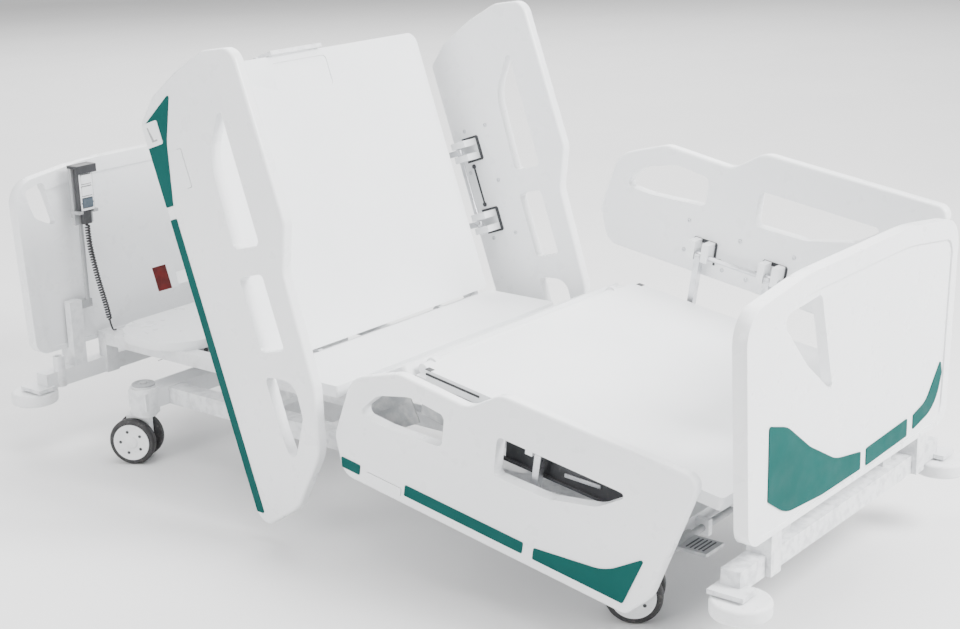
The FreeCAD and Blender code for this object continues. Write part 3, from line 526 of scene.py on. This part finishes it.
def make_cord():
    """The curly cord under the handset and its straight tail, as one line."""
    line = smooth_line(COIL_ROUTE)
    points = [line[0]]
    count = COIL_TURNS * TURN_POINTS
    for n in range(1, count):
        share = n / count
        middle, forward = along_line(line, share)
        side = forward.cross(Vector((0, 1, 0))).normalized()
        other = forward.cross(side)
        ease = min(1, n / TURN_POINTS, (count - n) / TURN_POINTS)
        angle = 2 * math.pi * n / TURN_POINTS
        points.append(middle + COIL_RADIUS * ease * (side * math.cos(angle) + other * math.sin(angle)))
    points += [Vector(point) for point in TAIL_ROUTE]
    item = spline_curve("handset_cord", points)
    item.data.bevel_depth = CORD_THICK / 2
    item.data.bevel_resolution = 3
    item.data.use_fill_caps = True
    item.data.materials.append(MATERIALS["cord"])
    bpy.context.scene.collection.objects.link(item)
    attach(item, "frame")
    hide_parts("cord_coil", "cord_tail")
    drawn = smooth_line(points)


# ---------------------------------------------------------------- castors

# The wheels' width across both, how much of a wheel its hub disc covers, and how far the
# disc's rim, dish and cap stand past the wheel's side.
WHEEL_PAIR = 0.082
HUB_RADIUS = 0.049
HUB_RIM = 0.0025
HUB_DISH = 0.0008
HUB_CAP = 0.004
HUB_HOLES = 5
HUB_HOLE_RING = 0.030


def make_castor_details():
    """A hub disc with round holes on both sides of each wheel pair."""
    for name in ("head_right", "head_left", "foot_right", "foot_left"):
        wheels = joint_at("roll_" + name)
        axle = Vector(JOINTS["roll_" + name]["axis"])
        place = axes(wheels, axle.cross(UP), UP, axle)
        hubs = Piece()
        dark = Piece()
        for way in (-1, 1):
            # out from the middle of the axle: a radius and a height past the wheel's side
            profile = [(HUB_RADIUS, -0.002), (HUB_RADIUS, HUB_RIM - 0.0005), (HUB_RADIUS - 0.0006, HUB_RIM),
                       (HUB_RADIUS - 0.004, HUB_RIM), (HUB_RADIUS - 0.007, HUB_DISH), (0.018, HUB_DISH),
                       (0.015, HUB_CAP - 0.0006), (0.014, HUB_CAP), (0, HUB_CAP)]
            hubs.lathe([(r, way * (WHEEL_PAIR / 2 + h)) for r, h in profile], (0, 0, 0), "z", 64)
            for n in range(HUB_HOLES):
                angle = 2 * math.pi * n / HUB_HOLES
                spot = (HUB_HOLE_RING * math.cos(angle), HUB_HOLE_RING * math.sin(angle),
                        way * (WHEEL_PAIR / 2 + HUB_DISH))
                dark.disc(0.0042, way * 0.0004, spot, "z", 20)
        hubs.done("castor_hubs_" + name, "bumper", "wheels_" + name, place)
        dark.done("castor_hub_holes_" + name, "dark_plastic", "wheels_" + name, place, 0)


def make_socket_caps():
    """A ringed plastic cap on each castor socket of the base."""
    caps = Piece()
    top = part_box("base_frame")[1].z
    for name in ("head_right", "head_left", "foot_right", "foot_left"):
        at = joint_at("swivel_" + name)
        profile = [(0.031, 0), (0.031, 0.003), (0.028, 0.005), (0.022, 0.005), (0.020, 0.003), (0.010, 0.003),
                   (0.009, 0.006), (0, 0.0065)]
        caps.lathe(profile, (at.x, at.y, top), "z", 64)
    caps.done("socket_caps", "grey_plastic", "base")


def make_bumper_caps():
    """A ringed cap under each bumper roller."""
    for end in ENDS:
        for side in SIDES:
            name = "%s_%s" % (end, side)
            at = joint_at("bumper_spin_" + name)
            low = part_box("bumper_" + name)[0]
            cap = Piece()
            profile = [(0.020, -0.001), (0.020, 0.003), (0.016, 0.005), (0.006, 0.0055), (0.0055, 0.003),
                       (0, 0.003)]
            cap.lathe([(r, -h) for r, h in profile], (at.x, at.y, low.z + 0.0005), "z", 48)
            cap.done("bumper_cap_" + name, "grey_plastic", "bumper_" + name)


# ---------------------------------------------------------------- side rails

RAIL_INNER = {"back": 0.037, "foot": 0.024}
ARM_GAP = {"back": 0.202, "foot": 0.198}
RAIL_THICK = 0.030


def rail_place(kind, side):
    """Axes of a rail from its upper rod: outward, along the section from its hinge, and up."""
    origin = joint_at("rail_%s_%s" % (kind, side))
    along = Vector(JOINTS["arm_%s_left" % kind]["axis"])
    up = Vector((1, 0, 0)).cross(along)
    way = 1 if kind == "back" else -1
    return axes(origin, Vector((SIDES[side], 0, 0)), way * along, up)


# Screws on a rail's inner face: distance along the rail and height, from the upper rod's middle.
RAIL_SCREWS = {
    "back": [(0.154, 0.007), (0.154, 0.084), (0.001, 0.077), (-0.150, 0.085), (-0.150, 0.004),
             (0.040, -0.012)],
    "foot": [(-0.155, 0.070), (-0.158, -0.008), (-0.006, 0.060), (0.144, 0.064), (-0.042, -0.028),
             (0.027, -0.031)],
}
SLOT_LEVEL = {"back": 0.007, "foot": -0.008}
GASKET_TOP = {"back": 0.044, "foot": 0.031}
GASKET_HALF = 0.0315


def make_rail_details():
    """Dark gaskets, a slot and screws on each rail's inner face, around its swing arms."""
    for kind, inner in RAIL_INNER.items():
        half = ARM_GAP[kind] / 2
        top = GASKET_TOP[kind]
        level = SLOT_LEVEL[kind]
        for side in SIDES:
            name = "%s_%s" % (kind, side)
            place = rail_place(kind, side)
            dark = Piece()
            for spot in (-half, half):
                dark.block((0.0018, 2 * GASKET_HALF, 0.010), (inner - 0.0007, spot, top))
                for edge in (-GASKET_HALF, GASKET_HALF):
                    dark.block((0.0016, 0.006, 0.056), (inner - 0.0006, spot + edge, top - 0.026))
            dark.block((0.0016, 2 * half - 0.094, 0.006), (inner - 0.0006, 0, level))
            for spot in (-half + 0.047, half - 0.047):
                dark.disc(0.0065, 0.0022, (inner - 0.0022, spot, level), "x", 20)
            dark.done("rail_gaskets_" + name, "dark_plastic", "rail_" + name, place, 0.0003)
            screws = Piece()
            for along, up in RAIL_SCREWS[kind]:
                screw(screws, (inner, along, up), "x", -1, 0.0055)
            screws.done("rail_screws_" + name, "zinc", "rail_" + name, place, 0)


BAND_THICK = 0.002
TILE_ALONG = 0.319
TILE_UP = -0.012
TILE_HALF = 0.028


def shifted(points, along, up):
    return [(u + along, v + up) for u, v in points]



def make_rail_tiles():
    """A small white tile with a plain bent mark on each back rail's coloured wedge."""
    for side in SIDES:
        place = rail_place("back", side)
        face = RAIL_INNER["back"] + RAIL_THICK + BAND_THICK
        tile = Piece()
        outer = rounded(TILE_HALF, TILE_HALF, 0.005)
        tile.plate(shifted(outer, TILE_ALONG, TILE_UP), face - 0.001, 0.0022)
        tile.done("rail_tile_" + side, "white_plastic", "rail_back_" + side, place, 0.0004)
        mark = Piece()
        # a bent bar, like a bed with its back raised
        bar = [(-0.018, -0.006), (-0.018, 0.013), (-0.014, 0.013), (-0.014, 0.001), (0.018, -0.008),
               (0.017, -0.012)]
        mark.plate(shifted(bar, TILE_ALONG, TILE_UP), face + 0.0010, 0.0006)
        mark.done("rail_tile_mark_" + side, "grey_plastic", "rail_back_" + side, place, 0)


def section(hinge, kind):
    """Axes of a deck section at its hinge: across, along (towards the head) and up from its deck."""
    along = Vector(JOINTS["arm_%s_left" % kind]["axis"])
    across = Vector((1, 0, 0))
    return axes(joint_at(hinge), across, along, across.cross(along))


# Distances from the bed's middle: the leg sections' covers, and the seat-side section's, all of them sheets of
# painted shade.
SHADE_COVER_X = 0.416
SHADE_SKIRT_X = 0.410
SHADE_COVER_THICK = 0.004
# gear wheels of the linkage: place along the section, height and radius
GEARS = [(-0.330, -0.045, 0.024), (-0.366, -0.068, 0.017), (-0.318, -0.084, 0.011),
         (-0.300, -0.030, 0.010), (-0.560, -0.060, 0.014)]


def make_thigh_shade_skirts():
    """Grey covers along the edges of the seat-side leg section, behind the rail's first window: painted shade,
    standing in for the shaded space under the section.
    """
    hinge = joint_at("knee_rise")
    along = (hinge - joint_at("calf_fold")).normalized()
    across = Vector((1, 0, 0))
    place = axes(hinge, across, along, across.cross(along))
    for side, sign in SIDES.items():
        # a grey sheet of painted shade for the shaded underside of this section
        shade_skirt = Piece()
        # it stops short of the knee, where the next section's tubes swing past
        shade_skirt.plate([(-0.190, -0.110), (-0.020, -0.110), (-0.020, -0.008), (-0.190, -0.008)],
                    sign * SHADE_SKIRT_X - SHADE_COVER_THICK / 2, SHADE_COVER_THICK)
        for up in (-0.094, -0.060, -0.026):
            shade_skirt.block((0.006, 0.150, 0.0014), (sign * SHADE_SKIRT_X, -0.105, up))
        shade_skirt.done("thigh_painted_shade_skirt_" + side, "grey_plastic", "thigh", place, 0.001)


def make_linkages_and_shade_sheets():
    """Under both edges of the lower leg section: a dark linkage cover with its gears, a grey skirt
    and a slit in the deck's edge. The cover, the skirt and the slit are painted shade: they stand in for
    the shaded space under the deck that shows through the rail's windows and past its top."""
    place = section("calf_fold", "foot")
    for side, sign in SIDES.items():
        # a dark sheet of painted shade: the shade under the deck behind the lowered rail's second window
        shade_cover = Piece()
        points = [(-0.655, -0.098), (-0.270, -0.104), (-0.262, -0.012), (-0.655, -0.012)]
        shade_cover.plate(points, sign * SHADE_COVER_X - SHADE_COVER_THICK / 2, SHADE_COVER_THICK)
        shade_cover.plate([(-0.655, -0.098), (-0.655, -0.092), (-0.262, -0.098), (-0.262, -0.104)],
                    min(sign * SHADE_COVER_X, sign * (SHADE_COVER_X + 0.010)), 0.010)
        shade_cover.done("linkage_painted_shade_cover_" + side, "dark_plastic", "calf", place, 0.001)
        gear = Piece()
        for along, up, radius in GEARS:
            gear.lathe([(radius, 0), (radius, 0.004), (radius * 0.7, 0.006), (radius * 0.65, 0.003),
                        (radius * 0.3, 0.003), (radius * 0.28, 0.008), (0, 0.008)],
                       (sign * (SHADE_COVER_X + 0.002), along, up), "x", 24)
        for length, high, along, up, turn in ((0.120, 0.010, -0.520, -0.050, 0.15),
                                              (0.090, 0.008, -0.470, -0.074, -0.1)):
            gear.block((0.004, length, high), (sign * (SHADE_COVER_X + 0.004), along, up), turn)
        gear.done("linkage_gear_" + side, "zinc", "calf", place, 0.0006)
        # a grey sheet of painted shade: the shaded underside behind the lowered rail's first window
        shade_skirt = Piece()
        shade_skirt.plate([(-0.255, -0.104), (-0.030, -0.090), (-0.030, -0.010), (-0.255, -0.012)],
                    sign * SHADE_COVER_X - SHADE_COVER_THICK / 2, SHADE_COVER_THICK)
        shade_skirt.done("deck_painted_shade_skirt_" + side, "grey_plastic", "calf", place, 0.001)
        # a dark strip of painted shade: the shaded gap between the deck's edge and the lowered rail's top
        shade_slit = Piece()
        shade_slit.block((0.002, 0.150, 0.005), (sign * 0.4205, -0.110, 0.010))
        shade_slit.block((0.014, 0.016, 0.002), (sign * 0.4140, -0.040, 0.0200))
        shade_slit.done("deck_painted_shade_slit_" + side, "dark_plastic", "calf", place, 0.0003)


# ---------------------------------------------------------------- housings

# half the thickness of a brake pedal, which lies at its bar's height
PEDAL_HALF = 0.004
BOX_SOCKETS = 4
ACTUATOR_RIBS = 6
PAD_RIBS = 5


def box_of(name):
    """A node's low and high corners, its middle and its size."""
    low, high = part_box(name)
    return low, high, (low + high) / 2, high - low


def make_control_box_details():
    low, _, at, size = box_of("control_box")
    seams = Piece()
    seams.block((size.x * 0.94, 0.001, 0.0016), (at.x, low.y + 0.0002, at.z - 0.006))
    for n in range(BOX_SOCKETS):
        seams.disc(0.008, -0.0012, (at.x - 0.072 + 0.048 * n, low.y + 0.0002, at.z - 0.022), "y", 24)
    seams.done("control_box_sockets", "dark_plastic", "frame", None, 0.0003)


def make_actuator_details():
    """Ribs along both sides of each drive, and a seal where its push rod comes out."""
    for name in ("back", "thigh"):
        low, high, at, size = box_of("actuator_" + name)
        ends = Piece()
        for n in range(ACTUATOR_RIBS):
            y = low.y + size.y * (n + 1) / (ACTUATOR_RIBS + 1)
            for sign in SIDES.values():
                ends.block((0.0014, 0.003, size.z * 0.7), (at.x + sign * size.x / 2, y, at.z))
        ends.lathe([(0.012, 0), (0.018, 0.0), (0.018, 0.0022), (0.012, 0.0022), (0.012, 0)],
                   (at.x, high.y - 0.0004, at.z), "y", 32)
        ends.done("actuator_ribs_" + name, "dark_plastic", "frame", None, 0.0003)


def make_brake_pads():
    pads = Piece()
    low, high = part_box("brake_bar")
    top = JOINTS["brake"]["pos_m"][2] + PEDAL_HALF
    for sign in SIDES.values():
        side = high.x if sign > 0 else low.x
        for n in range(PAD_RIBS):
            at = (side - sign * 0.035, low.y + 0.014 + 0.010 * n, top + 0.0003)
            pads.block((0.052, 0.0035, 0.0014), at)
    pads.done("brake_pads", "dark_plastic", "brake", None, 0.0003)


def make_column_bolts():
    """Screws at the foot of each column, on its head and foot sides."""
    bolts = Piece()
    for end in ENDS:
        low, high, at, size = box_of("column_outer_" + end)
        for x in (-1, 1):
            for y, way in ((high.y, 1), (low.y, -1)):
                screw(bolts, (at.x + x * size.x * 0.36, y, low.z + 0.03), "y", way, 0.006)
    bolts.done("column_bolts", "zinc", "base", None, 0)


# ---------------------------------------------------------------- floor and light

FLOOR_SIZE = 30
WORLD_LIGHT = 0.75
# each softbox's place, its side and its power
SOFTBOXES = [
    ("key", (1.2, -4.4, 4.0), 2.2, 760),
    ("top", (-0.6, -0.6, 5.0), 3.0, 190),
    ("side", (-4.8, 0.9, 2.0), 2.5, 150),
    ("sweep", (5.0, 5.0, 6.5), 9.0, 1300),
]


def make_stage():
    data = bpy.data.meshes.new("floor")
    half = FLOOR_SIZE / 2
    corners = [(-half, -half, 0), (half, -half, 0), (half, half, 0), (-half, half, 0)]
    data.from_pydata(corners, [], [(0, 1, 2, 3)])
    data.materials.append(pale_floor())
    floor = bpy.data.objects.new("floor", data)
    bpy.context.scene.collection.objects.link(floor)
    world = bpy.data.worlds.new("studio")
    world.use_nodes = True
    background = world.node_tree.nodes["Background"]
    background.inputs["Color"].default_value = (1.0, 1.0, 1.0, 1)
    background.inputs["Strength"].default_value = WORLD_LIGHT
    bpy.context.scene.world = world
    aim = (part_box("seat_panel")[0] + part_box("seat_panel")[1]) / 2
    for name, place, size, power in SOFTBOXES:
        softbox(name, place, aim, size, power)


def softbox(name, place, aim, size, power):
    data = bpy.data.lights.new(name, "AREA")
    data.energy = power
    data.size = size
    item = bpy.data.objects.new(name, data)
    item.location = place
    item.rotation_euler = (Vector(place) - aim).to_track_quat("Z", "Y").to_euler()
    bpy.context.scene.collection.objects.link(item)


# ---------------------------------------------------------------- everything

make_camera()
make_cord()
dress_nodes()
paint_nodes()
make_castor_details()
make_socket_caps()
make_bumper_caps()
make_rail_details()
make_rail_tiles()
make_linkages_and_shade_sheets()
make_thigh_shade_skirts()
make_control_box_details()
make_actuator_details()
make_brake_pads()
make_column_bolts()
make_stage()
